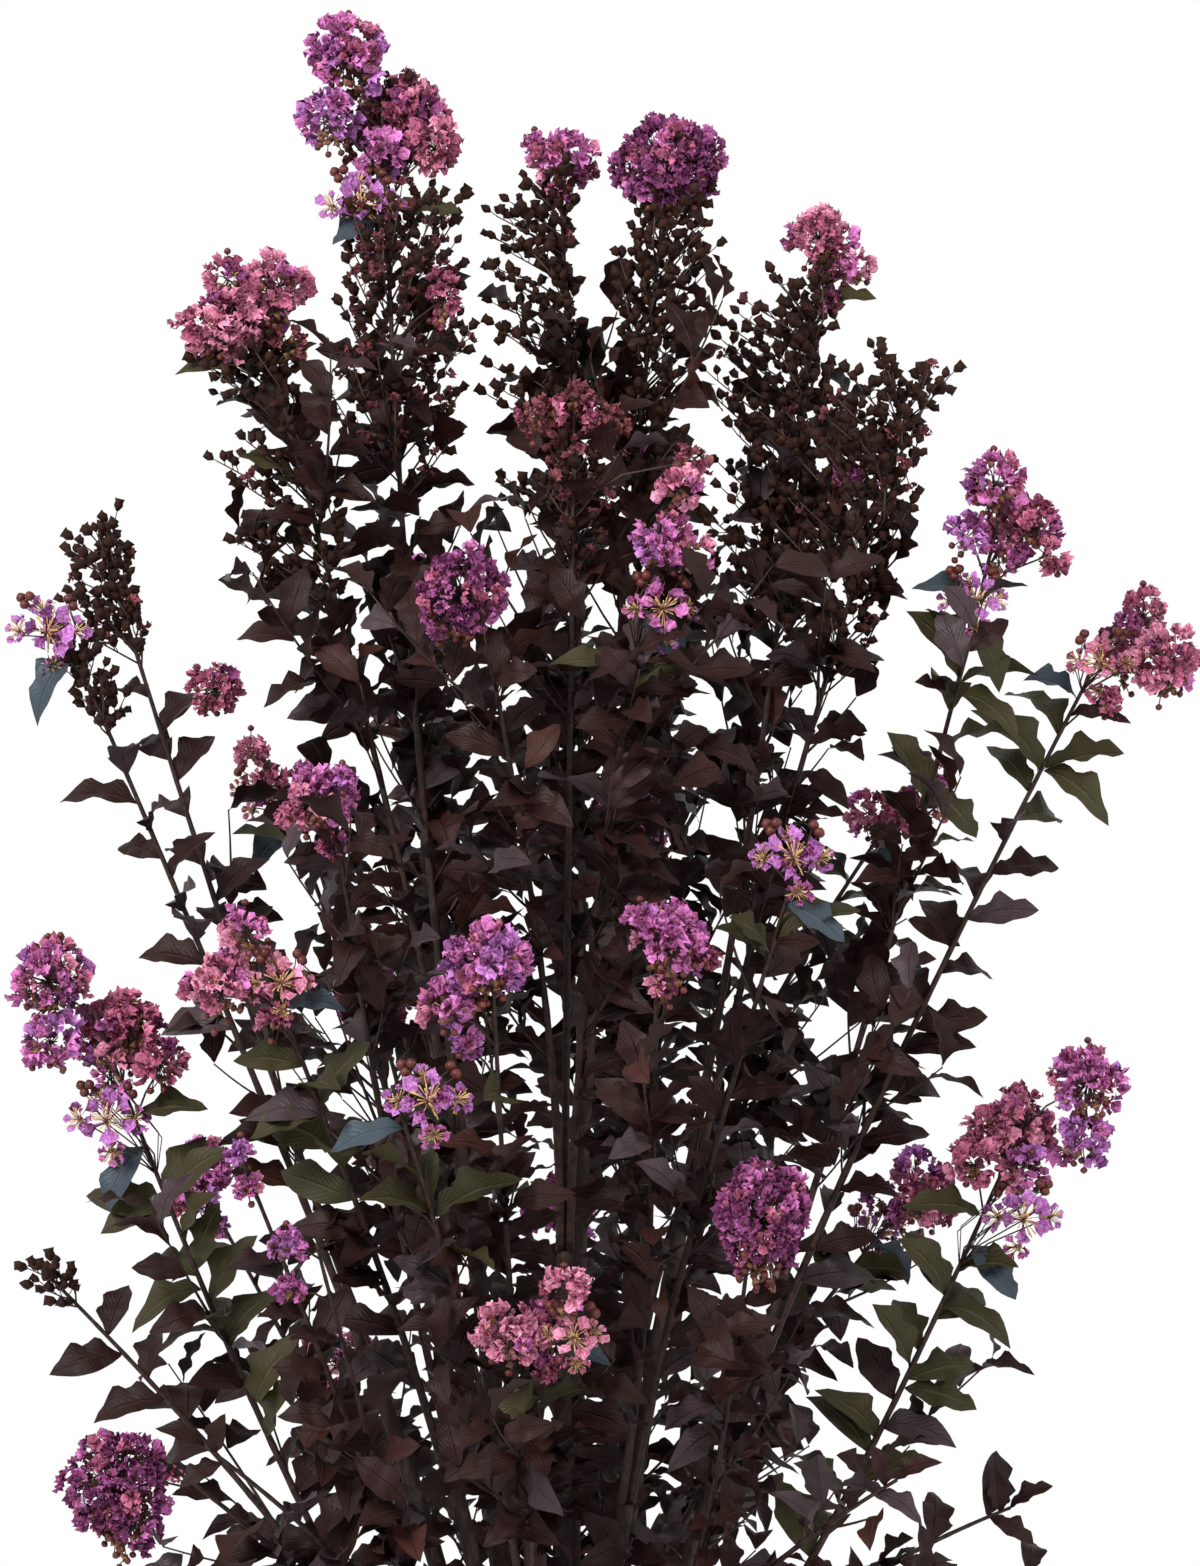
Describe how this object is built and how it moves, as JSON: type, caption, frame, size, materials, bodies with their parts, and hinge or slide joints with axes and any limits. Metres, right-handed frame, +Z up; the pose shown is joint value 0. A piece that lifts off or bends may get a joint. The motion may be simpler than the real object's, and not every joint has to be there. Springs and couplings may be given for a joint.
{
  "type": "crape myrtle shrub",
  "caption": "Dark-leaved crape myrtle shrub: canes fan out from a flared root crown and fork into leafy shoots with pink and purple flower heads and seed capsule spires.",
  "frame": {"origin": "centre of the flat cut under the root crown, at ground level", "axes": "+Z up along the plant's height; the side pictured faces -Y, with +X to its right"},
  "size_m": [1.165, 1.0985, 1.9983],
  "materials": {
    "bark": "smooth mottled bark",
    "foliage": "satin near-black wine-brown leaves",
    "blossom": "crinkled matt petals, orchid pink to purple",
    "capsule": "dry matt seed capsules"
  },
  "bodies": {
    "root": {"root_crown": "bark", "cane_tall_left": "bark", "cane_tall_middle": "bark", "cane_right": "bark", "cane_right_outer": "bark", "cane_right_low": "bark", "cane_front_right_low": "bark", "cane_front_right": "bark", "cane_front_high": "bark", "cane_front_low": "bark", "cane_front_left_low": "bark", "cane_front_left": "bark", "cane_left_low": "bark", "cane_left_outer": "bark", "cane_back_left_low": "bark", "cane_back_left": "bark", "cane_back_right_low": "bark", "cane_back_right": "bark", "foliage_tall_left": "foliage", "foliage_upper_left": "foliage", "foliage_tall_middle": "foliage", "foliage_tall_right": "foliage", "foliage_right_spire": "foliage", "foliage_right_capsules": "foliage", "foliage_right_outer": "foliage", "foliage_right_upper": "foliage", "foliage_right_low": "foliage", "foliage_right_lowest": "foliage", "foliage_front_right_low": "foliage", "foliage_front_right_lowest": "foliage", "foliage_front_right": "foliage", "foliage_front_middle": "foliage", "foliage_front_high_left": "foliage", "foliage_front_high_right": "foliage", "foliage_front_crown": "foliage", "foliage_front_low": "foliage", "foliage_front_waist": "foliage", "foliage_front_lower_left": "foliage", "foliage_front_left_low": "foliage", "foliage_front_left_lower": "foliage", "foliage_front_left_lowest": "foliage", "foliage_front_left": "foliage", "foliage_left_waist": "foliage", "foliage_left_low": "foliage", "foliage_left_lower": "foliage", "foliage_left_lowest": "foliage", "foliage_left_outer": "foliage", "foliage_left_capsules": "foliage", "foliage_back_left_low": "foliage", "foliage_back_left_lowest": "foliage", "foliage_back_left": "foliage", "foliage_back_left_waist": "foliage", "foliage_back_left_high": "foliage", "foliage_back_right_low": "foliage", "foliage_back_right_lowest": "foliage", "foliage_back_low": "foliage", "foliage_back_right": "foliage", "foliage_back_waist": "foliage", "foliage_back_crown": "foliage"}
  },
  "joints": []
}
